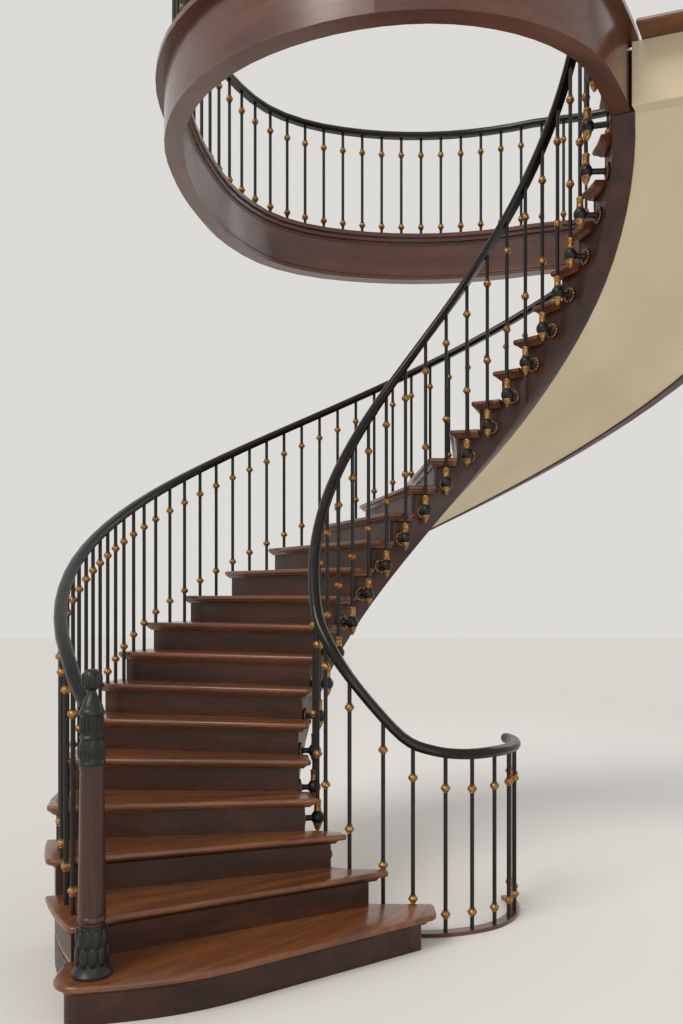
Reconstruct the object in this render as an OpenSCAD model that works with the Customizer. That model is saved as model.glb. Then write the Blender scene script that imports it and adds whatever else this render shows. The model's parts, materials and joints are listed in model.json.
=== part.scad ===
// Curved open-well staircase with cut strings, iron balusters on side brackets and a gallery
// ring round the upper end of the well. The stair climbs clockwise, seen from above.
// Plan points are measured from the well's centre line, angles from the +X axis.

/* [Steps] */
// Height of one step
rise = 170; // [165:1:175]
// Turn of one step round the well, in degrees
turn = 10.22; // [10.1:0.02:10.3]
// Thickness of the tread boards
tread_t = 28; // [26:1:32]
// How far a tread reaches past the riser below its front edge
nosing = 45; // [40:1:50]
// Height of the moulding under the edge of a tread
mould_h = 20; // [16:1:24]
// How far that moulding is set back from the tread's edge
mould_in = 20; // [16:1:24]
// Thickness of the riser boards
riser_t = 20; // [16:1:24]

/* [Strings and soffit] */
// Radius of the inner string's face towards the well
face_in = 790; // [785:1:795]
// Thickness of the inner string
string_in_t = 110; // [90:5:120]
// Radius of the outer string's outer face
face_out = 2000; // [1995:1:2005]
// Thickness of the outer string
string_out_t = 80; // [70:5:85]
// Thickness of the plaster soffit
soffit_t = 35; // [30:1:45]

/* [Balustrade] */
// Diameter of the round baluster bars
bar_d = 21; // [18:1:24]
// How far the brass knots stand out from the bars
knot_out = 11; // [9:1:13]
// Diameter of the ball at the end of each side bracket
ball_d = 62; // [58:1:64]
// Radius of the round rosette of each side bracket
rosette_r = 44; // [40:1:46]
// Width of the handrails
rail_w = 62; // [58:1:66]
// Height of the handrails
rail_h = 50; // [46:1:54]
// Height of the outer handrail's middle over the line of the tread edges
guard_out = 805; // [790:5:830]
// Height of the inner handrail's middle over the line of the tread edges
guard_in = 757; // [740:1:770]

/* [Gallery] */
// Depth of the gallery's fascia with its nosing
fascia_h = 340; // [320:5:360]
// Thickness of the gallery's fascia
fascia_t = 90; // [80:1:100]
// Distance between the gallery's balusters
gallery_step = 150; // [145:1:160]
// Height of the gallery handrail's middle over the upper floor
gallery_guard = 770; // [760:1:780]

/* [Hidden] */
steps = 26;
start_angle = 245.3;
first_ring = 4;
// the outer ends of the lower steps are turned back: the three starting steps, then fading out
start_lags = [10.9, 11.5, 11.7];
lag_most = 10.9;
lag_from = 4.8;
lag_over = 4.7;
// near the top the well opens out from this step on, to join the gallery
open_from = 19.5;
open_by = 75;
open_over = 8;
// the inner bars and their rail follow this share of it
rail_share = 0.4;
clear = 0.3;
top_z = steps * rise;
tip_in = face_in - 55;
end_out = face_out + 46;
riser_back = nosing + riser_t;
// middle line of the inner bars, and of the outer bars
bar_in = face_in - 83;
bar_out = face_out - 26;
// right corners of the three flared starting boards, and of the blocks below them
start_right = [[-100, -508], [-328, -387], [-525, -344]];
block_right = [[-175, -506], [-425, -388], [-612, -325]];
// where the two lowest boards, and the blocks below them, end towards the well
well_side = -345;
block_side = -352;
// round end of the bottom step: front corner, back corner and bend of the front edge, board then block
round_front = [[-1716, -1350], [-1671, -1305]];
round_back = [[-1716, -1105], [-1671, -1150]];
front_bend = [[-1188, -1244], [-1180, -1190]];
// outer front corner of the second board, and the point where its edge turns straight
ear_corner = [-1667, -1172];
ear_bend = [-1500, -1008];
newel_angle = 217.25;
newel_at = (bar_out - 2) * [cos(newel_angle), sin(newel_angle)];
// where the well's centre line lies from the middle of the bottom step
axis_at = [1020, 710];

function polar(r, a) = [r * cos(a), r * sin(a)];
function unit(v) = v / norm(v);
function mix(a, b, t) = a * (1 - t) + b * t;
function clamp01(t) = max(0, min(1, t));
function ease(t) = let (c = clamp01(t)) c * c * (3 - 2 * c);
function climb_angle(k) = start_angle - turn * k;
function lag(k) = k < first_ring ? start_lags[k - 1] : lag_most * (1 - ease((k - lag_from) / lag_over));
function inner_end(k) = k < first_ring ? start_right[k - 1] : polar(tip_in, climb_angle(k));
function outer_angle(k) = climb_angle(k) - lag(k);
function outer_end(k) = polar(end_out, outer_angle(k));
// how much the well is wider at an angle
function widen(a) = open_by * ease(((start_angle - a) / turn - open_from) / open_over);
function along(k) = unit(outer_end(k) - inner_end(k));
function back(k) = [along(k).y, -along(k).x];
// point at radius r on the tread edge line of step k, moved back by off
function on_line(k, off, r) =
    let (p = inner_end(k) + back(k) * off, d = along(k), b = p * d, c = p * p - r * r)
    p + d * (sqrt(b * b - c) - b);
// the same on the well's side, where the radius grows near the top
function in_line(k, off, r) = on_line(k, off, r + widen(climb_angle(k) - off / r * 180 / PI));
function arc_mid(a, b, r) = unit(a + b) * r;
function heading(p) = (atan2(p.y, p.x) + 360) % 360;
// points between two points round the well, without the two ends
function arc_between(p, q, n = 4) =
    let (a = heading(p), w = (heading(q) - a + 540) % 360 - 180)
    [for (i = [1:n - 1]) polar(mix(norm(p), norm(q), i / n), a + w * i / n)];
// a corner c between p and n, rounded with radius r
function fillet(p, c, n, r, m = 5) =
    r == 0 ? [c] :
    let (
        u = unit(p - c),
        v = unit(n - c),
        half = acos(u * v) / 2,
        o = c + unit(u + v) * r / sin(half),
        s = c + u * r / tan(half) - o,
        e = c + v * r / tan(half) - o,
        a0 = atan2(s.y, s.x),
        a1 = atan2(e.y, e.x),
        w = a1 - a0 > 180 ? a1 - a0 - 360 : a1 - a0 < -180 ? a1 - a0 + 360 : a1 - a0
    )
    [for (i = [0:m]) o + polar(r, a0 + w * i / m)];
function rounded(pts, radii, m = 5) =
    let (n = len(pts))
    [for (i = [0:n - 1]) each fillet(pts[(i + n - 1) % n], pts[i], pts[(i + 1) % n], radii[i], m)];

// outline of a curved step's board, edge to the next riser's face
function tread_outline(k) =
    let (
        a = in_line(k, 0, tip_in),
        b = on_line(k, 0, end_out),
        c = on_line(k + 1, nosing, end_out),
        d = in_line(k + 1, nosing, tip_in)
    )
    rounded(
        [a, b, arc_mid(b, c, end_out), c, d, unit(a + d) * (norm(a) + norm(d)) / 2],
        [18, 40, 0, 0, 0, 0]
    );
// outline of the moulding under it: along the front and back along both ends, outside the strings
string_gap = 3;
// its ends stop this far short of the next riser's face
riser_gap = 1;
function mould_outline(k) =
    let (
        wall = face_in * cos(turn / 4) - clear - (k > 18 ? string_gap : 0),
        end_back = nosing - riser_gap,
        a0 = in_line(k, mould_in, tip_in + mould_in),
        a1 = in_line(k + 1, end_back, tip_in + mould_in),
        a2 = in_line(k + 1, end_back, wall),
        a3 = in_line(k, nosing, wall),
        b0 = on_line(k, mould_in, end_out - mould_in),
        b1 = on_line(k + 1, end_back, end_out - mould_in),
        b2 = on_line(k + 1, end_back, face_out + string_gap),
        b3 = on_line(k, nosing, face_out + string_gap)
    )
    concat(
        [a0, b0], arc_between(b0, b1, 2), [b1, b2], arc_between(b2, b3, 2), [b3, a3],
        arc_between(a3, a2, 2), [a2, a1], arc_between(a1, a0, 2)
    );

// outline of a starting step: its board at s = 0, the block below it at s = 1, the moulding between
function start_outline(k, s) =
    let (
        set_back = s * nosing,
        front_r = mix(start_right[k - 1], block_right[k - 1], s),
        side = mix(well_side, block_side, s),
        r_out = mix(end_out, face_out, s),
        f_out = on_line(first_ring, nosing, k == 3 ? r_out : face_out),
        f_in = on_line(first_ring, nosing, mix(tip_in, face_in, s)),
        well_end = [[front_r.x, side], [start_right[2].x - set_back, side], f_in, f_out],
        next_in = on_line(k + 1, nosing, face_out),
        next_out = on_line(k + 1, nosing, r_out),
        o = on_line(k, set_back, r_out),
        ear = mix(ear_corner, o, s)
    )
    k == 1 ?
    rounded(
        concat(
            [mix(round_front[0], round_front[1], s), mix(front_bend[0], front_bend[1], s), front_r],
            well_end, arc_between(f_out, next_in, 5), [next_in, mix(round_back[0], round_back[1], s)]
        ),
        concat([mix(110, 60, s), 1300, mix(60, 20, s), 30, 0, 0, 0, 0, 0, 0, 0, 0], [90 * (1 - s)]), 8
    ) :
    k == 2 ?
    rounded(
        concat(
            [ear], s == 1 ? [] : [mix(ear_bend, ear_bend + [-22, 39], s)], [front_r],
            well_end, arc_between(f_out, next_in, 4), [next_in],
            s == 1 ? arc_between(next_in, o, 4) : concat([next_out], arc_between(next_out, ear, 4))
        ),
        s == 1 ? [for (i = [0:12]) 0] : concat([45 * (1 - s), 150, 14, 8], [for (i = [0:11]) 0])
    ) :
    s == 1 ?
    concat([o, front_r, f_in, f_out], arc_between(f_out, o, 4)) :
    rounded(
        concat([o, front_r, front_r + [-25, 45], f_in, f_out], arc_between(f_out, o, 4)),
        [60, 18, 0, 0, 0, 0, 0, 0]
    );

// underside of a string at the riser line of step k, easing to the gallery's lower edge at the top
function low_line(k, up, down) =
    let (top_low = top_z - fascia_h, straight = (k + up) * rise - down)
    straight + ease((k - 22) / 4) * (top_low - (steps + up) * rise + down);
function low_in(k) = low_line(k, 0.39, 453);
function low_out(k) = low_line(k, 0.15, 440);

// ring of four points at each station, joined to one closed body: a curved string with a stepped top
module string_body(k0, k1, r0, r1, inner) {
    halves = [for (k = [k0:k1 - 1]) for (h = [0, 1]) [k + h / 2, k]];
    n = len(halves);
    end_z = (k1 - 1) * rise - tread_t;
    function plan(k, r) = inner ? in_line(k, riser_back, r) : on_line(k, riser_back, r);
    function foot(k, r) = let (p = plan(k, r)) [p.x, p.y, inner ? low_in(k) : low_out(k)];
    function head(k, r, z) = let (p = plan(k, r)) [p.x, p.y, z];
    // for each cell: four points at its start, then four at its end
    pts = [
        for (c = halves)
            let (a = c[0], b = c[0] + 0.5, z = c[1] * rise - tread_t)
            each [foot(a, r0), foot(a, r1), head(a, r1, z), head(a, r0, z)],
        foot(k1, r0), foot(k1, r1), head(k1, r1, end_z), head(k1, r0, end_z)
    ];
    // points at the top of a cell's end, where the next cell's top is one step higher
    lower_top = [
        for (i = [1:n])
            let (k = halves[i - 1][0] + 0.5, z = halves[i - 1][1] * rise - tread_t)
            each [head(k, r1, z), head(k, r0, z)]
    ];
    base = len(pts);
    function jump(i) = i > 0 && i < n && halves[i][1] != halves[i - 1][1];
    function top1(i) = jump(i) ? base + 2 * (i - 1) : 4 * i + 2;
    function top0(i) = jump(i) ? base + 2 * (i - 1) + 1 : 4 * i + 3;
    faces = concat(
        [[0, 1, 2], [0, 2, 3]],
        [[4 * n + 3, 4 * n + 2, 4 * n + 1], [4 * n + 3, 4 * n + 1, 4 * n]],
        [
            for (i = [0:n - 1])
                let (a = 4 * i, b = 4 * (i + 1), t1 = top1(i + 1), t0 = top0(i + 1))
                each concat(
                    [[a, b + 1, a + 1], [a, b, b + 1], [a + 2, t1, t0], [a + 2, t0, a + 3]],
                    jump(i) ?
                    [[a + 2, top1(i), t1], [top1(i), a + 1, t1], [a + 1, b + 1, t1],
                        [top0(i), a + 3, t0], [a, top0(i), t0], [b, a, t0]] :
                    [[a + 2, a + 1, t1], [a + 1, b + 1, t1], [a, a + 3, t0], [b, a, t0]]
                )
        ],
        [
            for (i = [1:n - 1])
                if (jump(i))
                    each [[4 * i + 2, 4 * i + 3, top0(i)], [4 * i + 2, top0(i), top1(i)]]
        ]
    );
    used = concat(pts, lower_top);
    keep = [for (i = [0:len(used) - 1]) if (i < base || jump(floor((i - base) / 2) + 1)) i];
    place = [
        for (i = [0:len(used) - 1])
            i < base ? i : base + len([for (j = keep) if (j >= base && j < i) 1])
    ];
    polyhedron(points = [for (i = keep) used[i]], faces = [for (f = faces) [for (v = f) place[v]]]);
}

// closed tube through rings of points, all rings with the same count, in order along the body
module loft(rings) {
    n = len(rings[0]);
    m = len(rings);
    polyhedron(
        points = [for (r = rings) each r],
        faces = concat(
            [[for (i = [0:n - 1]) i]],
            [[for (i = [0:n - 1]) (m - 1) * n + (n - i) % n]],
            [
                for (j = [0:m - 2]) for (i = [0:n - 1])
                    let (a = j * n + i, b = j * n + (i + 1) % n)
                    each [[a, a + n, b], [b, a + n, b + n]]
            ]
        )
    );
}

// handrail section: flat below, full sides with a small bead, rounded top
rail_outline = [
    for (p = [[-0.34, -0.5], [0.34, -0.5], [0.4, -0.3], [0.5, -0.18], [0.5, 0.08], [0.42, 0.3], [0.24, 0.46],
        [0, 0.5], [-0.24, 0.46], [-0.42, 0.3], [-0.5, 0.08], [-0.5, -0.18], [-0.4, -0.3]])
        [p.x * rail_w, p.y * rail_h]
];
function flat(v) = [v.x, v.y, 0];
function rail_ring(p, t) =
    let (n = unit([t.y, -t.x, 0]), b = cross(n, unit(t)))
    [for (q = rail_outline) p + n * q.x + b * q.y];
module rail_along(pts, t0, t1) {
    m = len(pts);
    function course(i) =
        i == 0 ? t0 :
        i == m - 1 ? t1 :
        unit(pts[i + 1] - pts[i]) + unit(pts[i] - pts[i - 1]);
    loft([for (i = [0:m - 1]) rail_ring(pts[i], course(i))]);
}

function pitch(a) = (start_angle - a) / turn * rise;
function rail_in_r(a) = bar_in + rail_share * widen(a);
function rail_in(a) = let (p = polar(rail_in_r(a), a)) [p.x, p.y, pitch(a) + guard_in];
function rail_in_dir(a) = rail_in(a - 0.5) - rail_in(a + 0.5);
// the outer rail drops a little to meet the newel
rail_drop = 45;
function rail_out(a) =
    let (p = polar(bar_out, a))
    [p.x, p.y, pitch(a) + guard_out - rail_drop * ease((a - 206) / 9)];
function rail_out_dir(a) = rail_out(a - 0.5) - rail_out(a + 0.5);
rail_start = newel_angle - 1.45;

// the inner rail below step 5: off the circle, over the starting steps, level round the well's edge
rail_z = 905;
leave = climb_angle(5.2);
sweep_pts = [
    rail_in(climb_angle(6)), rail_in(leave), [-655, -222, 1521], [-550, -302, 1340], [-400, -316, 1148],
    [-240, -319, 984], [-100, -328, 928], [60, -293, rail_z], [230, -205, rail_z], [350, -50, rail_z],
    [386, 120, rail_z], [366, 240, rail_z], [332, 350, rail_z]
];
function spline(t) =
    let (
        i = min(max(floor(t), 1), len(sweep_pts) - 3),
        u = t - i,
        a = sweep_pts[i - 1], b = sweep_pts[i], c = sweep_pts[i + 1], d = sweep_pts[i + 2]
    )
    0.5 * (2 * b + (c - a) * u + (2 * a - 5 * b + 4 * c - d) * u * u + (3 * b - a - 3 * c + d) * u * u * u);
function spline_dir(t) = spline(t + 0.01) - spline(t - 0.01);
sweep_end = 11;

// gallery: angle and radius of the fascia's face, from the inner string's end round to the landing
past_rail = face_out + 130;
gallery_pts = [
    [climb_angle(steps) + 360, face_in + widen(climb_angle(steps))], [320, 880], [300, 970], [266, 1100],
    [235, 1205], [205, 1330], [185, 1400], [167, 1465], [150, 1595], [135, 1790], [122, 1950],
    [108, face_out], [66, face_out], [50, past_rail], [climb_angle(steps), past_rail]
];
// from this point of the list on, the ring runs along circles
level_from = 11;
function slope(i) =
    let (n = len(gallery_pts) - 1, a = gallery_pts[max(i - 1, 0)], b = gallery_pts[min(i + 1, n)])
    i >= level_from ? 0 : (b[1] - a[1]) / (b[0] - a[0]);
function seg(a, i = 0) = i >= len(gallery_pts) - 2 || a >= gallery_pts[i + 1][0] ? i : seg(a, i + 1);
function face_r(a) =
    let (
        i = seg(a), p = gallery_pts[i], q = gallery_pts[i + 1],
        w = q[0] - p[0], t = (a - p[0]) / w
    )
    p[1] * (1 + 2 * t) * (1 - t) * (1 - t) + slope(i) * w * t * (1 - t) * (1 - t)
    + q[1] * t * t * (3 - 2 * t) + slope(i + 1) * w * t * t * (t - 1);
g_start = climb_angle(steps) + 360;
g_end = climb_angle(steps);
function g_point(a, off) = polar(face_r(a) + off, a);
function g_angles(a0, a1, da = 5) = let (n = ceil((a0 - a1) / da)) [for (i = [0:n]) a0 + (a1 - a0) * i / n];
// plan of a band of the gallery between two offsets from its face
function band(a0, a1, o0, o1) =
    let (as = g_angles(a0, a1), n = len(as))
    concat([for (a = as) g_point(a, o0)], [for (i = [n - 1:-1:0]) g_point(as[i], o1)]);
board_w = 135;
module gallery_part(a0, a1) {
    translate([0, 0, top_z - fascia_h])
        linear_extrude(25)
            polygon(band(a0, a1, -8, fascia_t));
    translate([0, 0, top_z - fascia_h + 25])
        linear_extrude(fascia_h - 25 - 30 - tread_t)
            polygon(band(a0, a1, 0, fascia_t));
    translate([0, 0, top_z - tread_t - 30])
        linear_extrude(30)
            polygon(band(a0, a1, -16, fascia_t));
    translate([0, 0, top_z - tread_t])
        linear_extrude(tread_t)
            polygon(band(a0, a1, -32, board_w));
}
gallery_bar = 40;
bracket_lead = 8.7;
function bracket_angle(k) = climb_angle(k) - bracket_lead;
g_first = g_start - 21.3;
g_last = g_end + 3;
function g_walk(a, acc = []) =
    a < g_last ? acc : g_walk(a - gallery_step / (face_r(a) + gallery_bar) * 180 / PI, concat(acc, [a]));
g_bars = g_walk(g_first);
gallery_z = top_z + gallery_guard;
// the gallery rail leaves the inner rail's end and eases over to the fascia
function g_rail_off(a) = mix(rail_in_r(g_end) - face_r(g_start), gallery_bar, ease((g_start - a) / 24));
function g_rail(a) =
    let (p = g_point(a, g_rail_off(a)))
    [p.x, p.y, mix(rail_in(g_end).z, gallery_z, ease((g_start - a) / 14))];

// bar from z0 up to the underside of a rail whose middle is at z and that climbs at a slope
module bar(x, y, z0, z, heading, tilt) {
    r = bar_d / 2;
    under = rail_h / 2 / cos(tilt) + clear / cos(tilt);
    difference() {
        translate([x, y, z0])
            cylinder(d = bar_d, h = z - under + 40 - z0, $fn = 24);
        translate([x, y, z - under])
            rotate([0, 0, heading])
                rotate([0, -tilt, 0])
                    translate([-60, -60, 0])
                        cube([120, 120, 160]);
    }
}
knot_h = 40;
// brass knot round a bar: bulb with a turned collar above and below
module knot(x, y, z) {
    r0 = bar_d / 2 + clear;
    r1 = bar_d / 2 + knot_out;
    translate([x, y, z])
        rotate_extrude($fn = 32)
            polygon([
                [r0, -knot_h / 2], [r0 + 4, -knot_h / 2], [r0 + 1.5, -knot_h / 2 + 5], [r1 - 3, -9], [r1, 0],
                [r1 - 4, 8], [r0 + 2, knot_h / 2 - 8], [r1 - 5, knot_h / 2], [r0, knot_h / 2]
            ]);
}

// angle at which step line k, counted in parts of a step, meets the outer bars
function bar_angle(k) =
    let (i = floor(k), p = outer_angle(i), q = outer_angle(i + 1))
    mix(p, q, k - i);
// five bars to every two treads
outer_bars = [
    for (k = [2:steps - 1])
        for (f = k % 2 == 1 ? [0.1, 0.5, 0.9] : [0.3, 0.7])
            [bar_angle(k + f), k, f]
];
ball_drop = 159;
ball_r = ball_d / 2;
bracket_first = 5;
// the well's wall behind a bracket: the inner string, then the gallery's fascia for the last one
function wall_angle(k) = k == steps ? bracket_angle(k) + 360 : bracket_angle(k);
function wall_point(a) = a > 300 ? g_point(a, 0) : polar(face_in + widen(a), a);
function wall_facing(a) = let (t = unit(wall_point(a - 0.5) - wall_point(a + 0.5))) [-t.y, t.x];
// point on the handrail over the bracket of step k
function inner_bar(k) = k == steps ? g_rail(wall_angle(k)) : rail_in(bracket_angle(k));
// a flat rosette on the hollow side of a curved wall stands this far off it
rosette_gap = 2.8;
// height of the strip that carries the bars round the well's edge on the floor
curb_h = 20;
// bars under the sweep: place on it, height of the foot and of the lower knot
standing = [
    [1.37, 557 + ball_r, 887], [2.19, 385 + ball_r, 739], [3.23, 220 + ball_r, 532], [4.31, curb_h, 353],
    [5.27, curb_h, 186], [6.4, curb_h, 107], [7.24, curb_h, 105], [7.97, curb_h, 105],
    [8.66, curb_h, 110], [9.25, curb_h, 110], [9.95, curb_h, 110], [10.6, curb_h, 110]
];
// side brackets: ball's place and height, direction to the wall behind it and distance to that wall
side_3 = unit(on_line(first_ring, nosing, face_in) - block_right[2]);
function foot_at(i) = let (p = spline(standing[i][0])) [p.x, p.y];
function low_bracket(i, facing, reach) = concat(foot_at(i), [standing[i][1] - ball_r, facing, reach]);
bracket_list = concat(
    [
        for (k = [bracket_first:steps])
            let (p = inner_bar(k), a = wall_angle(k), n = wall_facing(a))
            [p.x, p.y, k * rise - ball_drop, atan2(n.y, n.x), (wall_point(a) - [p.x, p.y]) * n - rosette_gap]
    ],
    [
        low_bracket(0, heading(foot_at(0)), face_in - norm(foot_at(0)) - rosette_gap),
        low_bracket(1, atan2(side_3.x, -side_3.y), abs(cross(foot_at(1) - block_right[2], side_3)) - clear),
        low_bracket(2, 270, foot_at(2).y - block_side - clear)
    ]
);

module placed() {
    translate([axis_at.x, axis_at.y, 0])
        children();
}

module step_block(k) {
    color("#4a2418")
        placed()
            translate([0, 0, (k - 1) * rise]) {
                linear_extrude(rise - tread_t - mould_h)
                    polygon(start_outline(k, 1));
                translate([0, 0, rise - tread_t - mould_h])
                    linear_extrude(mould_h)
                        polygon(start_outline(k, mould_in / nosing));
            }
}
module start_tread(k) {
    color("#7a3a20")
        placed()
            translate([0, 0, k * rise - tread_t])
                linear_extrude(tread_t)
                    polygon(start_outline(k, 0));
}
module tread(k) {
    translate([0, 0, k * rise - tread_t])
        linear_extrude(tread_t)
            polygon(tread_outline(k));
    translate([0, 0, k * rise - tread_t - mould_h])
        linear_extrude(mould_h)
            polygon(mould_outline(k));
}
module riser(k) {
    z0 = k == first_ring ? 0 : (k - 1) * rise - tread_t;
    translate([0, 0, z0])
        linear_extrude(k * rise - tread_t - z0)
            polygon([
                in_line(k, nosing, face_in), on_line(k, nosing, face_out),
                on_line(k, riser_back, face_out), in_line(k, riser_back, face_in)
            ]);
}
module treads(k0, k1) {
    color("#7a3a20")
        placed()
            for (k = [k0:k1])
                tread(k);
}
module risers(k0, k1) {
    color("#4a2418")
        placed()
            for (k = [k0:k1])
                riser(k);
}
module string_inner(k0, k1) {
    color("#45251b")
        placed()
            string_body(k0, k1, face_in, face_in + string_in_t, true);
}
module string_outer(k0, k1) {
    color("#45251b")
        placed()
            string_body(k0, k1, face_out - string_out_t, face_out, false);
}
// the plaster lies this far above the lower edges of the strings
soffit_up = 12;
module soffit(k0, k1) {
    r0 = face_in + string_in_t;
    r1 = face_out - string_out_t;
    color("#cdb07f")
        placed()
            loft([
                for (i = [0:2 * (k1 - k0)])
                    let (
                        k = k0 + i / 2,
                        p = in_line(k, riser_back, r0),
                        q = on_line(k, riser_back, r1),
                        m = (p + q) / 2,
                        zp = low_in(k) + soffit_up,
                        zq = low_out(k) + soffit_up,
                        zm = (zp + zq) / 2
                    )
                    [[m.x, m.y, zm], [q.x, q.y, zq], [q.x, q.y, zq + soffit_t],
                        [m.x, m.y, zm + soffit_t], [p.x, p.y, zp + soffit_t], [p.x, p.y, zp]]
            ]);
}
// the landing's first board and the beam below it stop short of the gallery ring's boards
landing_gap = 12;
landing_depth = 260;
beam_t = 70;
module landing_board() {
    outer_r = past_rail + board_w;
    off = board_w + landing_gap;
    // angle at which the board's back edge meets the ring's boards
    far = g_start - atan(landing_depth / (face_in + off));
    color("#7a3a20")
        placed()
            translate([0, 0, top_z - tread_t])
                linear_extrude(tread_t)
                    polygon([
                        g_point(g_start, off),
                        on_line(steps, 0, outer_r),
                        on_line(steps, landing_depth, outer_r),
                        g_point(far, off),
                        g_point((g_start + far) / 2, off)
                    ]);
}
module landing_beam() {
    outer_r = past_rail + board_w;
    inner_r = face_in + fascia_t + landing_gap;
    color("#cdb07f")
        placed()
            translate([0, 0, top_z - fascia_h])
                linear_extrude(fascia_h - tread_t)
                    polygon([
                        in_line(steps, riser_back, inner_r + 10),
                        on_line(steps, riser_back, outer_r),
                        on_line(steps, riser_back + beam_t, outer_r),
                        in_line(steps, riser_back + beam_t, inner_r)
                    ]);
}
module newel_part(outline) {
    translate([newel_at.x, newel_at.y, rise])
        rotate_extrude($fn = 48)
            polygon(outline);
}
module newel_post() {
    color("#5a2a1c")
        placed()
            newel_part([
                [0, 203], [50, 203], [50, 214], [57, 222], [57, 232], [52, 241], [56, 252], [48, 826],
                [51, 832], [51, 846], [0, 846]
            ]);
}
module newel_base() {
    color("#22261f")
        placed()
            newel_part([
                [0, 0], [82, 0], [82, 12], [72, 26], [66, 38], [62, 60], [62, 120], [60, 160], [56, 178],
                [54, 203], [0, 203]
            ]);
}
module newel_head() {
    color("#22261f")
        placed()
            newel_part([
                [0, 846], [52, 846], [56, 856], [52, 866], [51, 890], [53, 915], [50, 935], [46, 945],
                [46, 953], [51, 961], [45, 970], [45, 1046], [52, 1054], [52, 1064], [47, 1072], [42, 1090],
                [33, 1110], [22, 1130], [17, 1146], [20, 1152], [33, 1160], [40, 1180], [40, 1204],
                [33, 1223], [19, 1234], [0, 1237]
            ]);
}
module rail_landing() {
    n = 36;
    color("#17120f")
        placed()
            rail_along(
                [for (i = [0:n]) spline(1 + (sweep_end - 1) * i / n)],
                -rail_in_dir(leave), spline_dir(sweep_end)
            );
}
module rail_inner(a0, a1) {
    n = ceil((a0 - a1) / 4);
    color("#17120f")
        placed()
            rail_along(
                [for (i = [0:n]) rail_in(mix(a0, a1, i / n))], rail_in_dir(a0), rail_in_dir(a1)
            );
}
module rail_outer(a0, a1) {
    n = ceil((a0 - a1) / 4.5);
    color("#17120f")
        placed()
            rail_along(
                [for (i = [0:n]) rail_out(mix(a0, a1, i / n))], rail_out_dir(a0), rail_out_dir(a1)
            );
}
module rail_gallery() {
    as = g_angles(g_start, g_end, 4.5);
    n = len(as) - 1;
    color("#17120f")
        placed()
            rail_along([for (a = as) g_rail(a)], rail_in_dir(g_end), flat(rail_out_dir(g_end)));
}
module balusters_inner() {
    color("#1b1815")
        placed()
            for (k = [bracket_first:steps]) {
                p = inner_bar(k);
                d = k == steps ? [1, 0, 0] : rail_in_dir(bracket_angle(k));
                bar(p.x, p.y, k * rise - ball_drop + ball_r, p.z, atan2(d.y, d.x), atan(d.z / norm(flat(d))));
            }
}
module balusters_landing() {
    color("#1b1815")
        placed()
            for (s = standing) {
                p = spline(s[0]);
                d = spline_dir(s[0]);
                bar(p.x, p.y, s[1], p.z, atan2(d.y, d.x), atan(d.z / norm(flat(d))));
            }
}
module balusters_outer() {
    color("#1b1815")
        placed()
            for (b = outer_bars) {
                p = rail_out(b[0]);
                d = rail_out_dir(b[0]);
                bar(p.x, p.y, b[1] * rise, p.z, atan2(d.y, d.x), atan(d.z / norm(flat(d))));
            }
}
module balusters_gallery() {
    color("#1b1815")
        placed()
            for (a = g_bars) {
                p = g_rail(a);
                bar(p.x, p.y, top_z, p.z, 0, 0);
            }
}
// side bracket: ball under the bar, trumpet stem to the string and a round rosette on it
module bracket(b) {
    reach = b[4];
    translate([b.x, b.y, b.z]) {
        rotate([0, 0, b[3] + 180])
            sphere(r = ball_r, $fn = 32);
        rotate([0, 0, b[3]])
            rotate([0, 90, 0])
                rotate_extrude($fn = 32)
                    polygon([
                        [0, 0], [15, 0], [15, reach - 24], [19, reach - 16], [32, reach - 9],
                        [rosette_r, reach - 7], [rosette_r, reach], [0, reach]
                    ]);
    }
}
module brackets() {
    color("#1b1815")
        placed()
            for (b = bracket_list)
                bracket(b);
}
module bracket_gilding() {
    color("#b8862f")
        placed()
            for (b = bracket_list) {
                r0 = bar_d / 2 + clear;
                translate([b.x, b.y, b.z + ball_r + 3])
                    rotate_extrude($fn = 32)
                        polygon([
                            [r0, 0], [r0 + 6, 0], [r0 + 9.5, 6], [r0 + 7, 14], [r0 + 7.5, 44],
                            [r0 + 10, 52], [r0 + 7, 58], [r0, 60]
                        ]);
                translate([b.x, b.y, b.z])
                    rotate_extrude($fn = 32)
                        polygon(concat(
                            [for (t = [0, 14, 28, 42]) (ball_r + clear) * [sin(t), -cos(t)]],
                            [[ball_r - 7, -ball_r + 8], [ball_r - 7, -ball_r], [ball_r - 15, -ball_r - 22],
                                [5, -ball_r - 41], [0, -ball_r - 43]]
                        ));
            }
}
module knots_stair() {
    color("#b8862f")
        placed() {
            for (k = [bracket_first:steps]) {
                p = inner_bar(k);
                knot(p.x, p.y, p.z - 205);
                knot(p.x, p.y, k * rise - ball_drop + 390);
            }
            for (s = standing) {
                p = spline(s[0]);
                knot(p.x, p.y, p.z - mix(147, 177, clamp01((s[0] - 2.2) / 4.2)));
                knot(p.x, p.y, s[2]);
            }
            for (b = outer_bars) {
                p = rail_out(b[0]);
                knot(p.x, p.y, p.z - 170);
                knot(p.x, p.y, (b[1] + b[2]) * rise + 51);
            }
        }
}
module knots_gallery() {
    color("#b8862f")
        placed()
            for (a = g_bars) {
                p = g_rail(a);
                knot(p.x, p.y, p.z - 150);
                knot(p.x, p.y, top_z + 75);
            }
}
module landing_curb() {
    n = 24;
    t0 = 4;
    t1 = 11;
    function edge(t, off) = let (p = spline(t), d = unit(flat(spline_dir(t)))) [p.x, p.y] + off * [d.y, -d.x];
    color("#6b3a22")
        placed()
            linear_extrude(curb_h)
                polygon(concat(
                    [for (i = [0:n]) edge(mix(t0, t1, i / n), 24)],
                    [for (i = [n:-1:0]) edge(mix(t0, t1, i / n), -30)]
                ));
}

// where the gallery ring is cut into its four lengths
cut_near = 250;
cut_left = 160;
cut_far = 70;
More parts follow.
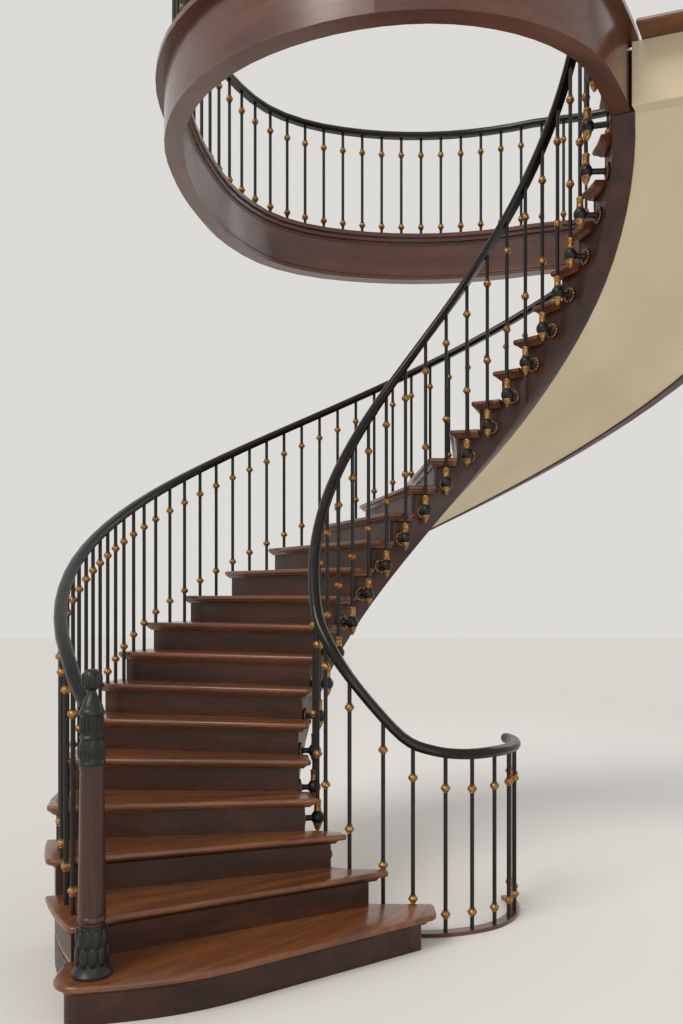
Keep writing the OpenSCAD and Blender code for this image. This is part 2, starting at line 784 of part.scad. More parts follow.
// where the outer rail is jointed
joint_low = 140;
joint_high = 60;

step_block(1);  // step_block_1
start_tread(1);  // tread_1
step_block(2);  // step_block_2
start_tread(2);  // tread_2
step_block(3);  // step_block_3
start_tread(3);  // tread_3
treads(4, 10);  // treads_lower
treads(11, 18);  // treads_middle
treads(19, 25);  // treads_upper
risers(4, 14);  // risers_lower
risers(15, 26);  // risers_upper
string_inner(4, 11);  // string_inner_lower
string_inner(11, 19);  // string_inner_middle
string_inner(19, 26);  // string_inner_upper
string_outer(4, 11);  // string_outer_lower
string_outer(11, 19);  // string_outer_middle
string_outer(19, 26);  // string_outer_upper
soffit(4, 11);  // soffit_lower
soffit(11, 19);  // soffit_middle
soffit(19, 26);  // soffit_upper
landing_board();
landing_beam();
newel_base();
newel_post();
newel_head();
rail_landing();
rail_inner(leave, climb_angle(15));  // rail_inner_lower
rail_inner(climb_angle(15), climb_angle(26));  // rail_inner_upper
rail_outer(rail_start, joint_low);  // rail_outer_lower
rail_outer(joint_low, joint_high);  // rail_outer_middle
rail_outer(joint_high, climb_angle(steps));  // rail_outer_upper
balusters_inner();
balusters_landing();
balusters_outer();
brackets();
bracket_gilding();
knots_stair();
color("#6b2e1c") placed() gallery_part(g_start - 5, cut_near);  // gallery_near
color("#6b2e1c") placed() gallery_part(cut_near, cut_left);  // gallery_left
color("#6b2e1c") placed() gallery_part(cut_left, cut_far);  // gallery_far
color("#6b2e1c") placed() gallery_part(cut_far, g_end);  // gallery_right
rail_gallery();
balusters_gallery();
knots_gallery();
landing_curb();
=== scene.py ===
# %% [markdown]
# # A curved staircase with an open well
# This file dresses the plain solids of a curved stair: boards with rounded edges, mouldings
# below them, turned brackets with gilded petals, a carved newel and the finishes. The solids are
# in metres with +Z up, and the point (0, 0, 0) lies below the middle of the bottom step.

import json
from math import pi, radians

import bpy
from mathutils import Matrix, Vector

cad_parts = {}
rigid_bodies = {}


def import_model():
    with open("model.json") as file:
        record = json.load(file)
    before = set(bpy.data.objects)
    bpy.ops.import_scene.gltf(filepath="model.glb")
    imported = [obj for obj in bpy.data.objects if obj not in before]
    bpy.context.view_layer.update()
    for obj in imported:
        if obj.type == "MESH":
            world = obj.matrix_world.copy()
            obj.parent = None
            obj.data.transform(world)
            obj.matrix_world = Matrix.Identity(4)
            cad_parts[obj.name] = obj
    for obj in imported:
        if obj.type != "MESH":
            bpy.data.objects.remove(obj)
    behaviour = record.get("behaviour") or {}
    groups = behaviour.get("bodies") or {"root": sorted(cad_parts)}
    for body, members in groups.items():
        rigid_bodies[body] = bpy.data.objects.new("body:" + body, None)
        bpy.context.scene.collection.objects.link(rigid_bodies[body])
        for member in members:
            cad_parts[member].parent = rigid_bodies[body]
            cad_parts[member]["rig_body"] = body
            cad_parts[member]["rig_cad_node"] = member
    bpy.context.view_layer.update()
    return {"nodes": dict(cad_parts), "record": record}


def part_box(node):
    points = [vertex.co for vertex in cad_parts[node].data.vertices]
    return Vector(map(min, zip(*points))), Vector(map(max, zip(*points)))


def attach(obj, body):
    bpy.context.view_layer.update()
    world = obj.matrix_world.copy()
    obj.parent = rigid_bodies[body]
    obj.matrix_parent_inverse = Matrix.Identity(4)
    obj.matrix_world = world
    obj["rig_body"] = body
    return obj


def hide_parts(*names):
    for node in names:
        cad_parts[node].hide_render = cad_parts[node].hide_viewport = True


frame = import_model()
nodes = frame["nodes"]

# %% [markdown]
# ## Where things are
# The stair turns clockwise round an upright line, the middle of the open well. Which way an edge
# faces, and where the wood's grain runs, are both told by a radius and an angle about that line.

# %% Numbers of the stair
WELL = Vector((1.02, 0.71, 0.0))
RISE = 0.17
STEPS = 26
FLOOR_UP = STEPS * RISE
BOARD, MOULDING = 0.028, 0.020
print("upper floor at", round(FLOOR_UP, 3), "m")

# %% [markdown]
# ## Working by operators
# An operator acts on whatever is selected. These helpers clear the selection first, so that each
# later cell can add one primitive, shape it and be sure that nothing else changes.


# %% Selection and finishing helpers
def only(*objects):
    if bpy.context.object and bpy.context.object.mode != "OBJECT":
        bpy.ops.object.mode_set(mode="OBJECT")
    bpy.ops.object.select_all(action="DESELECT")
    for o in objects:
        o.select_set(True)
    bpy.context.view_layer.objects.active = objects[-1]
    return objects[-1]


def settle(o):
    """Put an object's place, turn and size into its mesh, so that it sits at the origin."""
    only(o)
    bpy.ops.object.transform_apply(location=True, rotation=True, scale=True)
    return o


def smooth(o, angle=35):
    only(o)
    bpy.ops.object.shade_smooth_by_angle(angle=radians(angle))
    return o


def join(name, pieces):
    only(*pieces)
    if len(pieces) > 1:
        bpy.ops.object.join()
    o = bpy.context.view_layer.objects.active
    o.name = name
    o.data.name = name
    return settle(o)


def bevelled(o, width, segments=2, angle=30):
    only(o)
    m = o.modifiers.new("edge", "BEVEL")
    m.width = width
    m.segments = segments
    m.limit_method = "ANGLE"
    m.angle_limit = radians(angle)
    bpy.ops.object.modifier_apply(modifier=m.name)
    return o


def finish_piece(o, material, slot, *replaced):
    o.data.materials.clear()
    o.data.materials.append(material)
    for p in o.data.polygons:
        p.material_index = 0
    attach(o, "root")
    if replaced:
        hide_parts(*replaced)
    return o


print("helpers ready")

# %% [markdown]
# ## Finishes
# Wood grain runs along a board. On a winding stair every board points at the well, so the grain
# is laid out by radius and angle about the well's centre line instead of by X and Y. A long
# stretch along the radius gives treads and risers their grain, and a long stretch along the
# angle gives it to strings, rails and the gallery's band.


# %% Node helpers
def new_material(name):
    m = bpy.data.materials.new(name)
    m.use_nodes = True
    t = m.node_tree
    t.nodes.clear()
    out = t.nodes.new("ShaderNodeOutputMaterial")
    shader = t.nodes.new("ShaderNodeBsdfPrincipled")
    t.links.new(shader.outputs[0], out.inputs[0])
    return m, t, shader


def maths(t, op, a, b=None):
    n = t.nodes.new("ShaderNodeMath")
    n.operation = op
    for i, v in enumerate((a, b)):
        if v is None:
            continue
        if isinstance(v, (int, float)):
            n.inputs[i].default_value = v
        else:
            t.links.new(v, n.inputs[i])
    return n.outputs[0]


def object_coords(t):
    return t.nodes.new("ShaderNodeTexCoord").outputs["Object"]


def round_the_well(t, along_radius, along_angle, up):
    """Coordinates by radius, angle and height about the well's centre line, each one scaled."""
    split = t.nodes.new("ShaderNodeSeparateXYZ")
    t.links.new(object_coords(t), split.inputs[0])
    x = maths(t, "SUBTRACT", split.outputs[0], WELL.x)
    y = maths(t, "SUBTRACT", split.outputs[1], WELL.y)
    r = maths(t, "SQRT", maths(t, "ADD", maths(t, "MULTIPLY", x, x), maths(t, "MULTIPLY", y, y)))
    # the axes are turned first, so that the seam of the angle falls inside the top landing's board
    across = maths(t, "ADD", maths(t, "MULTIPLY", x, 0.423), maths(t, "MULTIPLY", y, 0.906))
    along = maths(t, "SUBTRACT", maths(t, "MULTIPLY", y, 0.423), maths(t, "MULTIPLY", x, 0.906))
    a = maths(t, "ARCTAN2", across, along)
    c = t.nodes.new("ShaderNodeCombineXYZ")
    t.links.new(maths(t, "MULTIPLY", r, along_radius), c.inputs[0])
    t.links.new(maths(t, "MULTIPLY", a, along_angle), c.inputs[1])
    t.links.new(maths(t, "MULTIPLY", split.outputs[2], up), c.inputs[2])
    return c.outputs[0]


def noise(t, coords, scale, detail=4.0, rough=0.55):
    n = t.nodes.new("ShaderNodeTexNoise")
    n.inputs["Scale"].default_value = scale
    n.inputs["Detail"].default_value = detail
    n.inputs["Roughness"].default_value = rough
    t.links.new(coords, n.inputs["Vector"])
    return n.outputs["Fac"]


def ramp(t, value, stops):
    n = t.nodes.new("ShaderNodeValToRGB")
    e = n.color_ramp.elements
    while len(e) < len(stops):
        e.new(0.5)
    for el, (pos, col) in zip(e, stops):
        el.position = pos
        el.color = (*col, 1.0)
    t.links.new(value, n.inputs[0])
    return n.outputs[0]


def grey(t, value, low, high, a=0.3, b=0.7):
    return ramp(t, value, [(a, (low,) * 3), (b, (high,) * 3)])


def bump(t, height, strength, distance, shader):
    n = t.nodes.new("ShaderNodeBump")
    n.inputs["Strength"].default_value = strength
    n.inputs["Distance"].default_value = distance
    t.links.new(height, n.inputs["Height"])
    t.links.new(n.outputs[0], shader.inputs["Normal"])


def wood(name, dark, mid, light, rough, lengthwise, coat=0.25, shine=0.5):
    """Varnished wood: wide bands of figure, fine pores and a little wear in the gloss."""
    m, t, s = new_material(name)
    if lengthwise == "radius":
        figure, pores = round_the_well(t, 1.2, 16.0, 9.0), round_the_well(t, 4.0, 130.0, 95.0)
    elif lengthwise == "angle":
        figure, pores = round_the_well(t, 11.0, 1.6, 11.0), round_the_well(t, 100.0, 6.0, 100.0)
    else:
        figure, pores = round_the_well(t, 14.0, 14.0, 1.2), round_the_well(t, 110.0, 110.0, 5.0)
    bands = noise(t, figure, 1.0, 3.0)
    fine = noise(t, pores, 1.0, 5.0, 0.65)
    both = maths(t, "ADD", maths(t, "MULTIPLY", bands, 0.62), maths(t, "MULTIPLY", fine, 0.38))
    t.links.new(ramp(t, both, [(0.34, dark), (0.5, mid), (0.66, light)]), s.inputs["Base Color"])
    wear = noise(t, object_coords(t), 3.5, 4.0)
    t.links.new(grey(t, wear, rough - 0.07, rough + 0.09), s.inputs["Roughness"])
    s.inputs["Specular IOR Level"].default_value = shine
    s.inputs["Coat Weight"].default_value = coat
    s.inputs["Coat Roughness"].default_value = 0.16
    bump(t, fine, 0.10, 0.0006, s)
    return m


print("node helpers ready")

# %% The woods
tread_wood = wood(
    "tread_wood", (0.080, 0.025, 0.008), (0.155, 0.050, 0.014), (0.255, 0.092, 0.025), 0.30, "radius",
    coat=0.3,
)
riser_wood = wood(
    "riser_wood", (0.022, 0.008, 0.004), (0.044, 0.015, 0.007), (0.078, 0.027, 0.012), 0.42, "radius",
    coat=0.08, shine=0.35,
)
string_wood = wood(
    "string_wood", (0.025, 0.010, 0.006), (0.045, 0.016, 0.009), (0.074, 0.027, 0.014), 0.38, "angle",
    coat=0.12, shine=0.4,
)
gallery_wood = wood(
    "gallery_wood", (0.055, 0.016, 0.009), (0.095, 0.028, 0.014), (0.145, 0.045, 0.022), 0.28, "angle",
    coat=0.5,
)
newel_wood = wood(
    "newel_wood", (0.022, 0.008, 0.005), (0.042, 0.015, 0.008), (0.070, 0.025, 0.012), 0.30, "up",
    coat=0.2, shine=0.4,
)
rail_black = wood(
    "rail_black", (0.004, 0.003, 0.003), (0.008, 0.006, 0.005), (0.015, 0.011, 0.009), 0.24, "angle",
    coat=0.0, shine=0.32,
)
print("woods:", 6)

# %% [markdown]
# Painted iron is near black with a soft gloss and the faint waviness of many coats. The gilding
# is worn: brown ground shows through it in the hollows, so its colour and gloss change together.

# %% Iron, gilding and plaster
def painted_iron(name, dark, light, rough):
    m, t, s = new_material(name)
    coats = noise(t, object_coords(t), 38.0, 4.0)
    t.links.new(ramp(t, coats, [(0.3, dark), (0.7, light)]), s.inputs["Base Color"])
    wear = noise(t, object_coords(t), 90.0, 3.0)
    t.links.new(grey(t, wear, rough - 0.07, rough + 0.09), s.inputs["Roughness"])
    s.inputs["Specular IOR Level"].default_value = 0.38
    bump(t, coats, 0.16, 0.0007, s)
    return m


iron_black = painted_iron("iron_black", (0.004, 0.004, 0.004), (0.011, 0.010, 0.009), 0.38)
newel_iron = painted_iron("newel_iron", (0.006, 0.007, 0.006), (0.016, 0.018, 0.015), 0.36)

brass, tree, shader = new_material("brass")
worn = noise(tree, object_coords(tree), 70.0, 4.0)
gilding = [(0.34, (0.15, 0.070, 0.022)), (0.52, (0.38, 0.195, 0.055)), (0.7, (0.58, 0.33, 0.105))]
tree.links.new(ramp(tree, worn, gilding), shader.inputs["Base Color"])
tree.links.new(grey(tree, worn, 0.52, 0.30), shader.inputs["Roughness"])
shader.inputs["Metallic"].default_value = 0.75
bump(tree, worn, 0.22, 0.0006, shader)

plaster, tree, shader = new_material("plaster")
clouds = noise(tree, object_coords(tree), 1.6, 5.0)
limewash = [(0.3, (0.63, 0.53, 0.36)), (0.7, (0.72, 0.62, 0.44))]
tree.links.new(ramp(tree, clouds, limewash), shader.inputs["Base Color"])
shader.inputs["Roughness"].default_value = 0.86
bump(tree, noise(tree, object_coords(tree), 60.0, 6.0), 0.08, 0.0012, shader)
print("iron, gilding and plaster ready")

# %% [markdown]
# ## From solids to boards, bars and rails
# The solids arrive as loose triangles with sharp edges. They are the fixed frame and stay as they
# are, so each one is copied, and the copy is merged into whole faces. A joiner always takes the
# sharpness off an edge, and a rounded edge is what catches the light: strings, risers and the
# landing get a small bevel, and long curved or turned pieces only a smooth shading.

# %% Materials of the solids
FINISH = {
    "tread_wood": tread_wood, "riser_wood": riser_wood, "string_wood": string_wood, "plaster": plaster,
    "iron_black": iron_black, "brass": brass, "rail_black": rail_black, "gallery_wood": gallery_wood,
    "newel_wood": newel_wood, "newel_iron": newel_iron,
}
slot_of = {p["node"]: p["material_slot"] for p in frame["record"]["subparts"]}
for name, node in nodes.items():
    node.data.materials.clear()
    node.data.materials.append(FINISH[slot_of[name]])
print("finishes on", len(nodes), "solids")

# %% Copies with merged faces
SAME_POINT = 0.00002
FLAT_WITHIN = 0.4


def merged_copy(node, name, whole_faces=True):
    only(nodes[node])
    bpy.ops.object.duplicate()
    o = bpy.context.view_layer.objects.active
    o.parent = None
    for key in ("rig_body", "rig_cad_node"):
        if key in o:
            del o[key]
    o.name = name
    o.data.name = name
    bpy.ops.object.mode_set(mode="EDIT")
    bpy.ops.mesh.select_all(action="SELECT")
    bpy.ops.mesh.remove_doubles(threshold=SAME_POINT)
    if whole_faces:
        bpy.ops.mesh.dissolve_limited(angle_limit=radians(FLAT_WITHIN))
    else:
        bpy.ops.mesh.tris_convert_to_quads(face_threshold=radians(1), shape_threshold=radians(120))
    bpy.ops.object.mode_set(mode="OBJECT")
    # normals that came with the solid fit its loose triangles, not the merged faces
    if o.data.has_custom_normals:
        bpy.ops.mesh.customdata_custom_splitnormals_clear()
    return o


# the width in metres and the number of rounds of the bevel, by the start of a node's name
EDGE = {
    "landing_board": (0.010, 3), "landing_beam": (0.003, 1), "risers": (0.002, 1),
    "string": (0.004, 2), "gallery_": (0.0, 0), "landing_curb": (0.0, 0), "soffit": (0.0, 0),
    "rail": (0.0, 0), "baluster": (0.0, 0), "bracket": (0.0, 0), "newel": (0.0, 0),
}
# the long curved pieces are only paired into quads: one flat face that runs round a ring would fold
CURVED = ("gallery_", "string", "soffit", "rail", "landing_curb")
SHAPED_LATER = ("tread", "step_block", "knots")
for name in sorted(n for n in nodes if not n.startswith(SHAPED_LATER)):
    width, rounds = next(v for start, v in EDGE.items() if name.startswith(start))
    piece = merged_copy(name, name + ".finished", not name.startswith(CURVED))
    if width:
        bevelled(piece, width, rounds, 40)
    smooth(piece, 32)
    finish_piece(piece, FINISH[slot_of[name]], slot_of[name], name)
    print(name, "faces", len(piece.data.polygons))

# %% [markdown]
# ## Rounded nosings and hollow mouldings
# A tread's edge is rounded so that it doesn't splinter, and the moulding that hides the joint
# below it is hollow, which gives the dark line under each board. Both are bevels, one round and
# one with a hollow profile. A bevel works on chosen edges, so each edge is asked where it lies
# and which way the faces beside it look. Edges against the next riser stay sharp.


# %% Choosing edges by their place
def pick_edges(o, wanted):
    """Select the edges for which wanted(middle, faces) is true; a face is its normal and centre."""
    only(o)
    mesh = o.data
    beside = {}
    for p in mesh.polygons:
        for key in p.edge_keys:
            beside.setdefault(key, []).append((p.normal.copy(), p.center.copy()))
    bpy.ops.object.mode_set(mode="EDIT")
    bpy.ops.mesh.select_mode(type="EDGE")
    bpy.ops.mesh.select_all(action="DESELECT")
    bpy.ops.object.mode_set(mode="OBJECT")
    count = 0
    for e in mesh.edges:
        a, b = (mesh.vertices[i].co for i in e.vertices)
        if abs(a.z - b.z) < 0.0005 and wanted((a + b) / 2, beside.get(e.key, [])):
            e.select = True
            count += 1
    bpy.ops.object.mode_set(mode="EDIT")
    return count


def down_the_stair(point):
    out = (point - WELL).to_2d().normalized()
    return Vector((-out.y, out.x, 0.0))


def upright(faces):
    return [(n, c) for n, c in faces if abs(n.z) < 0.1]


def at_height(z, heights):
    return any(abs(z - h) < 0.001 for h in heights)


def board_edge(tops):
    """Upper and lower edge of a board, apart from the side against the next riser."""
    def wanted(middle, faces):
        for n, c in upright(faces):
            for top in tops:
                on_board = top - BOARD < c.z < top and at_height(middle.z, (top, top - BOARD))
                if on_board and n.dot(down_the_stair(middle)) > -0.7:
                    return True
        return False
    return wanted


def moulding_edge(tops, whole_edge):
    """Lower outer edge of a moulding: along the front and both ends, never on the string's side."""
    def wanted(middle, faces):
        if not at_height(middle.z, [top - BOARD - MOULDING for top in tops]):
            return False
        flat = (middle - WELL).to_2d()
        out = Vector((*flat.normalized(), 0.0))
        for n, c in upright(faces):
            if c.z < middle.z:
                continue
            ahead = n.dot(down_the_stair(middle)) > 0.6
            end = n.dot(out) < -0.6 if flat.length < 1.2 else n.dot(out) > 0.6
            if whole_edge or ahead or end:
                return True
        return False
    return wanted


# %% Boards of the steps
COVE, HOLLOW_PROFILE = 0.015, 0.2
NOSING_ROUND, ROUND_PROFILE = 0.011, 0.5
for name in sorted(n for n in nodes if n.startswith(("tread", "step_block"))):
    piece = merged_copy(name, name + ".finished")
    low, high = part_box(name)
    tops = [k * RISE for k in range(1, STEPS) if low[2] < k * RISE + 0.001 and k * RISE < high[2] + 0.05]
    mouldings = pick_edges(piece, moulding_edge(tops, name.startswith("step_block")))
    if mouldings:
        bpy.ops.mesh.bevel(
            offset=COVE, offset_type="OFFSET", segments=4, profile=HOLLOW_PROFILE, affect="EDGES"
        )
    bpy.ops.object.mode_set(mode="OBJECT")
    edges = 0
    if name.startswith("tread"):
        edges = pick_edges(piece, board_edge(tops))
        bpy.ops.mesh.bevel(
            offset=NOSING_ROUND, offset_type="OFFSET", segments=4, profile=ROUND_PROFILE, affect="EDGES"
        )
        bpy.ops.object.mode_set(mode="OBJECT")
    smooth(piece, 40)
    finish_piece(piece, FINISH[slot_of[name]], slot_of[name], name)
    print(name, "moulding edges", mouldings, "board edges", edges)

# %% [markdown]
# ## Beads round the gallery
# The gallery's fascia carries rounded beads that catch the light in long thin lines. The line of
# the fascia is already there: the upper edge of its wall, under the nosing. Those edges are
# duplicated, cut free, turned into a curve with a round section and turned back into a mesh.


# %% Beads from the fascia's own edge
def wall_top(middle, faces):
    out = Vector((*(middle - WELL).to_2d().normalized(), 0.0))
    under_the_nosing = FLOOR_UP - 0.070 < middle.z < FLOOR_UP - 0.045
    return under_the_nosing and any(c.z < middle.z and n.dot(out) < -0.5 for n, c in upright(faces))


def bead(source, drop, radius):
    line = source.copy()
    line.data = source.data.copy()
    bpy.context.collection.objects.link(line)
    line.location.z = -drop
    settle(line)
    bpy.ops.object.convert(target="CURVE")
    line = bpy.context.object
    line.data.bevel_depth = radius
    line.data.bevel_resolution = 2
    line.data.use_fill_caps = True
    bpy.ops.object.convert(target="MESH")
    return bpy.context.object


# how far each bead hangs below the nosing's underside, and its radius
BEADS = ((0.004, 0.0060), (0.022, 0.0035), (0.249, 0.0055))
for name in sorted(n for n in nodes if n.startswith("gallery_")):
    band = bpy.data.objects[name + ".finished"]
    guide = band.copy()
    guide.data = band.data.copy()
    bpy.context.collection.objects.link(guide)
    only(guide)
    count = pick_edges(guide, wall_top)
    before = set(bpy.data.objects)
    bpy.ops.mesh.duplicate()
    bpy.ops.mesh.separate(type="SELECTED")
    bpy.ops.object.mode_set(mode="OBJECT")
    line = (set(bpy.data.objects) - before).pop()
    bpy.data.objects.remove(guide)
    beads = join(name + ".beads", [bead(line, drop, radius) for drop, radius in BEADS])
    bpy.data.objects.remove(line)
    smooth(beads, 50)
    finish_piece(beads, gallery_wood, "gallery_wood")
    print(name, "edges", count, "bead faces", len(beads.data.polygons))

# %% [markdown]
# ## Turned knots
# Each bar carries two gilded knots. A turned shape grows ring by ring: a disc is extruded upwards
# and each new ring is scaled to the radius it has there. Every second point of the two widest rings
# is then pulled in, which makes the lobes of a melon. One knot is modelled and copied to each place,
# and the places are the middles of the plain knots in the solids.


# %% Turning and copying
def turned(name, rings, points):
    """A solid of revolution from (radius, height) pairs, round the Z axis."""
    bpy.ops.object.select_all(action="DESELECT")
    radius, height = rings[0]
    bpy.ops.mesh.primitive_circle_add(
        vertices=points, radius=radius, fill_type="NGON", location=(0, 0, height)
    )
    o = bpy.context.object
    o.name = name
    bpy.ops.object.mode_set(mode="EDIT")
    bpy.ops.mesh.select_mode(type="FACE")
    bpy.ops.mesh.select_all(action="SELECT")
    for (r0, z0), (r1, z1) in zip(rings, rings[1:]):
        bpy.ops.mesh.extrude_region_move(TRANSFORM_OT_translate={"value": (0, 0, z1 - z0)})
        bpy.ops.transform.resize(value=(r1 / r0, r1 / r0, 1), center_override=(0, 0, z1))
    bpy.ops.mesh.select_all(action="SELECT")
    bpy.ops.mesh.normals_make_consistent(inside=False)
    bpy.ops.object.mode_set(mode="OBJECT")
    return settle(o)


def lobed(o, height, share):
    """Pull every second point of the ring at a height towards the axis."""
    only(o)
    bpy.ops.object.mode_set(mode="EDIT")
    bpy.ops.mesh.select_mode(type="VERT")
    bpy.ops.mesh.select_all(action="DESELECT")
    bpy.ops.object.mode_set(mode="OBJECT")
    ring = [v for v in o.data.vertices if abs(v.co.z - height) < 1e-5]
    for v in ring[::2]:
        v.select = True
    bpy.ops.object.mode_set(mode="EDIT")
    bpy.ops.transform.resize(value=(share, share, 1), center_override=(0, 0, height))
    bpy.ops.object.mode_set(mode="OBJECT")
    return o


def copies(model, places, name):
    made = []
    for place in places:
        c = model.copy()
        c.data = model.data.copy()
        bpy.context.collection.objects.link(c)
        c.matrix_world = place
        made.append(c)
    bpy.data.objects.remove(model)
    return join(name, made)


def loose_parts(o):
    """Lists of the points that hang together, one list for each loose part of a mesh."""
    link = list(range(len(o.data.vertices)))

    def root(i):
        while link[i] != i:
            link[i] = link[link[i]]
            i = link[i]
        return i

    for e in o.data.edges:
        a, b = (root(i) for i in e.vertices)
        link[a] = b
    groups = {}
    for i, v in enumerate(o.data.vertices):
        groups.setdefault(root(i), []).append(v.co.copy())
    return list(groups.values())


def extent(points):
    low = Vector([min(c[i] for c in points) for i in range(3)])
    high = Vector([max(c[i] for c in points) for i in range(3)])
    return low, high


print("turning helpers ready")

# %% The knots
LOBE_RINGS, LOBE_SHARE = (-0.0040, 0.0035), 0.86
KNOT = [
    (0.0108, -0.020), (0.0158, -0.0192), (0.0128, -0.0150), (0.0205, -0.0110), (0.0245, -0.0040),
    (0.0240, 0.0035), (0.0190, 0.0108), (0.0128, 0.0145), (0.0165, 0.0188), (0.0108, 0.020),
]
for name in ("knots_stair", "knots_gallery"):
    source = merged_copy(name, name + ".source")
    middles = []
    for part in loose_parts(source):
        low, high = extent(part)
        middles.append((low + high) / 2)
    bpy.data.objects.remove(source)
    knot = turned("knot", KNOT, 12)
    for height in LOBE_RINGS:
        lobed(knot, height, LOBE_SHARE)
    piece = copies(knot, [Matrix.Translation(m) for m in middles], name + ".turned")
    smooth(piece, 50)
    finish_piece(piece, brass, slot_of[name], name)
    print(name, len(middles), "knots,", len(piece.data.polygons), "faces")

# %% [markdown]
# ## Rosettes
# The stem of a side bracket ends in a round plate on the wall, edged with gilded petals. One petal
# is a flattened ball, and spin copies it round the plate. The plate's own flat face tells where
# the rosette lies and which way it looks.

# %% Gilded petals round each plate
PETALS = 14
FIRST_PETAL = (0.037, 0, 0.0075)
WHOLE_PLATE = 0.0058
bpy.ops.object.select_all(action="DESELECT")
bpy.ops.mesh.primitive_uv_sphere_add(segments=8, ring_count=5, radius=0.01, location=FIRST_PETAL)
petals = bpy.context.object
bpy.ops.object.mode_set(mode="EDIT")
bpy.ops.mesh.select_all(action="SELECT")
bpy.ops.transform.resize(value=(0.75, 0.86, 0.45), center_override=FIRST_PETAL)
bpy.ops.mesh.spin(
    steps=PETALS - 1, dupli=True, angle=2 * pi * (PETALS - 1) / PETALS, center=(0, 0, 0), axis=(0, 0, 1)
)
bpy.ops.object.mode_set(mode="OBJECT")
settle(petals)

# the side of a plate that lies on the wall is its only whole flat disc
plates = []
for face in bpy.data.objects["brackets.finished"].data.polygons:
    if face.area > WHOLE_PLATE and abs(face.normal.z) < 0.01:
        plates.append((face.center.copy(), face.normal.copy()))
places = [
    Matrix.Translation(centre) @ (-look).to_track_quat("Z", "Y").to_matrix().to_4x4()
    for centre, look in plates
]
rosettes = copies(petals, places, "rosette_petals")
smooth(rosettes, 60)
finish_piece(rosettes, brass, "brass")
print("rosettes:", len(plates))

# %% [markdown]
# The black ball of a side bracket is a little pear-shaped: full in the middle, drawn in towards
# the gilded ferrule above it and cut off where the gilded finial hangs below it. It is turned like
# a knot and set round the plain ball, whose middle is found from the finial's lowest point.

# %% Pear-shaped balls
PEAR = [
    (0.0190, -0.0300), (0.0290, -0.0220), (0.0345, -0.0100), (0.0355, 0.0020),
    (0.0330, 0.0140), (0.0265, 0.0250), (0.0200, 0.0330), (0.0165, 0.0350),
]
FINIAL_DROP, FINIAL_TALLEST = 0.074, 0.055
source = bpy.data.objects["bracket_gilding.finished"]
places = []
for part in loose_parts(source):
    low, high = extent(part)
    if high.z - low.z < FINIAL_TALLEST:
        middle = (low + high) / 2
        places.append(Matrix.Translation((middle.x, middle.y, low.z + FINIAL_DROP)))
pears = copies(turned("pear", PEAR, 20), places, "bracket_pears")
smooth(pears, 50)
finish_piece(pears, iron_black, "iron_black")
print("pears:", len(places))

# %% [markdown]
# ## The newel's carving
# The cast base of the newel is wrapped in two rows of upright leaves, and its head is ribbed like
# a small column under a lobed cap. Leaf, rib and lobe are each one flattened ball or rod set
# against the turned core, and spin copies it round the newel's own line.

# %% Leaves, ribs and lobes
low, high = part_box("newel_post")
NEWEL = Vector(((low[0] + high[0]) / 2, (low[1] + high[1]) / 2, RISE))


def round_the_newel(name, radius, height, size, count, first=0.0):
    """Flattened balls of a size (out, across, up) in a ring that starts at an angle."""
    bpy.ops.object.select_all(action="DESELECT")
    middle = NEWEL + Vector((radius, 0, height))
    bpy.ops.mesh.primitive_uv_sphere_add(segments=8, ring_count=6, radius=1.0, location=middle)
    o = bpy.context.object
    bpy.ops.object.mode_set(mode="EDIT")
    bpy.ops.mesh.select_all(action="SELECT")
    bpy.ops.transform.resize(value=size, center_override=middle)
    if first:
        bpy.ops.transform.rotate(value=radians(first), orient_axis="Z", center_override=NEWEL)
    bpy.ops.mesh.spin(
        steps=count - 1, dupli=True, angle=2 * pi * (count - 1) / count, center=NEWEL, axis=(0, 0, 1)
    )
    bpy.ops.object.mode_set(mode="OBJECT")
    o.name = name
    settle(o)
    smooth(o, 60)
    return finish_piece(o, newel_iron, "newel_iron")


round_the_newel("newel_leaves_low", 0.0625, 0.084, (0.0095, 0.0190, 0.044), 10)
round_the_newel("newel_leaves_high", 0.0580, 0.152, (0.0090, 0.0170, 0.040), 10, first=18.0)
round_the_newel("newel_neck_beads", 0.0510, 0.903, (0.0050, 0.0060, 0.030), 16)
round_the_newel("newel_ribs", 0.0450, 1.008, (0.0048, 0.0058, 0.036), 18)
round_the_newel("newel_lobes", 0.0385, 1.191, (0.0055, 0.0100, 0.028), 10)
print("newel carving on", tuple(round(v, 3) for v in NEWEL))

# %% [markdown]
# ## Floor, light and camera
# The eye stands level, 1.705 m above the floor, and looks straight ahead, so upright lines stay
# upright. The picture is shifted upwards instead of tilting the view, as with a view camera.

# %% Floor
bpy.ops.object.select_all(action="DESELECT")
bpy.ops.mesh.primitive_plane_add(size=60, location=(0.5, 2.0, -0.001))
floor = bpy.context.object
floor.name = "floor"
floor_paint, tree, shader = new_material("floor_paint")
shader.inputs["Base Color"].default_value = (0.80, 0.79, 0.77, 1)
shader.inputs["Roughness"].default_value = 0.9
floor.data.materials.append(floor_paint)

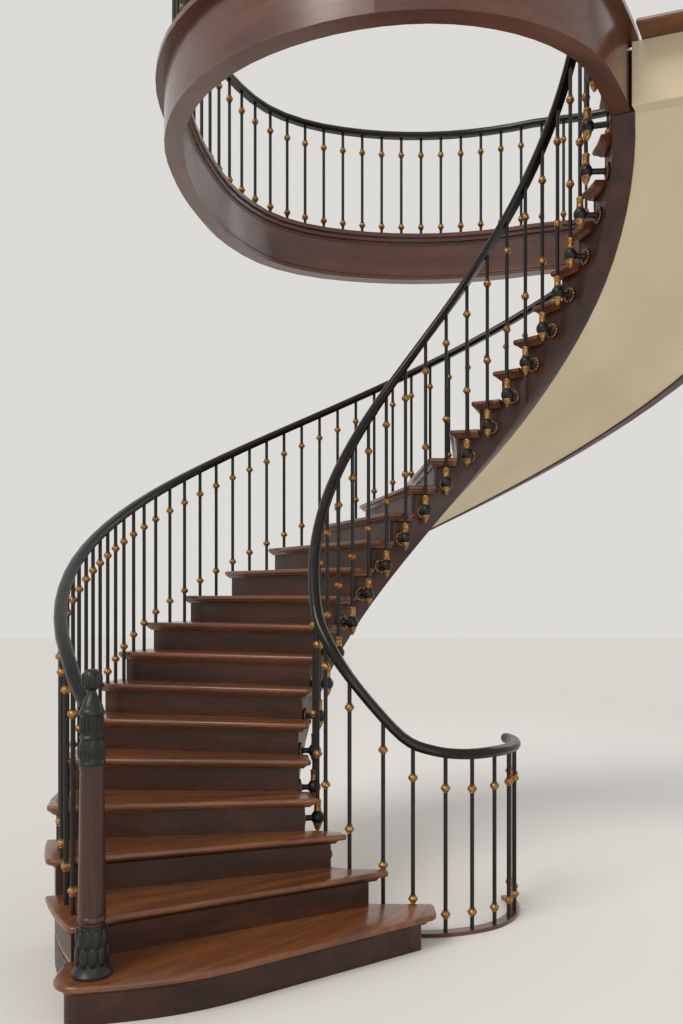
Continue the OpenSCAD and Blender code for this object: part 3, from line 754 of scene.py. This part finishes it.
# %% World and lamps
world = bpy.data.worlds.new("studio")
bpy.context.scene.world = world
world.use_nodes = True
tree = world.node_tree
light = tree.nodes["Background"]
light.inputs[0].default_value = (1.0, 0.985, 0.96, 1)
light.inputs[1].default_value = 0.50
# what the camera sees beyond the floor, also in metal and varnish, is the floor's own pale tone
backdrop = tree.nodes.new("ShaderNodeBackground")
backdrop.inputs[0].default_value = (0.72, 0.705, 0.68, 1)
backdrop.inputs[1].default_value = 1.0
path = tree.nodes.new("ShaderNodeLightPath")
seen = path.outputs["Is Camera Ray"]
for ray in ("Is Glossy Ray", "Is Transmission Ray"):
    seen = maths(tree, "MAXIMUM", seen, path.outputs[ray])
mix = tree.nodes.new("ShaderNodeMixShader")
tree.links.new(seen, mix.inputs[0])
tree.links.new(light.outputs[0], mix.inputs[1])
tree.links.new(backdrop.outputs[0], mix.inputs[2])
tree.links.new(mix.outputs[0], tree.nodes["World Output"].inputs[0])


def soft_lamp(kind, name, place, target, size, power, colour):
    bpy.ops.object.light_add(type=kind, location=place)
    lamp = bpy.context.object
    lamp.name = name
    if kind == "SUN":
        lamp.data.angle = size
    else:
        lamp.data.size = size
    lamp.data.energy = power
    lamp.data.color = colour
    lamp.rotation_euler = (Vector(target) - Vector(place)).to_track_quat("-Z", "Y").to_euler()
    return lamp


soft_lamp("SUN", "key", (-3.5, -4.0, 6.5), (0.6, 0.6, 0.0), 0.5, 1.5, (1.0, 0.95, 0.88))
soft_lamp("AREA", "window", (5.5, 5.0, 5.0), (1.0, 0.7, 2.0), 4.0, 60, (0.93, 0.96, 1.0))
soft_lamp("AREA", "front", (1.5, -6.0, 2.5), (0.8, 0.6, 2.2), 4.0, 60, (1.0, 0.97, 0.94))
print("lamps: 3")

# %% Camera
bpy.ops.object.camera_add(location=(0.461, -4.186, 1.705), rotation=(pi / 2, 0, 0))
camera = bpy.context.object
camera.data.sensor_fit = "AUTO"
camera.data.sensor_width = 36
camera.data.lens = 32.13
camera.data.shift_x = 0.0
camera.data.shift_y = 0.081
bpy.context.scene.camera = camera
bpy.context.scene.view_settings.view_transform = "Standard"
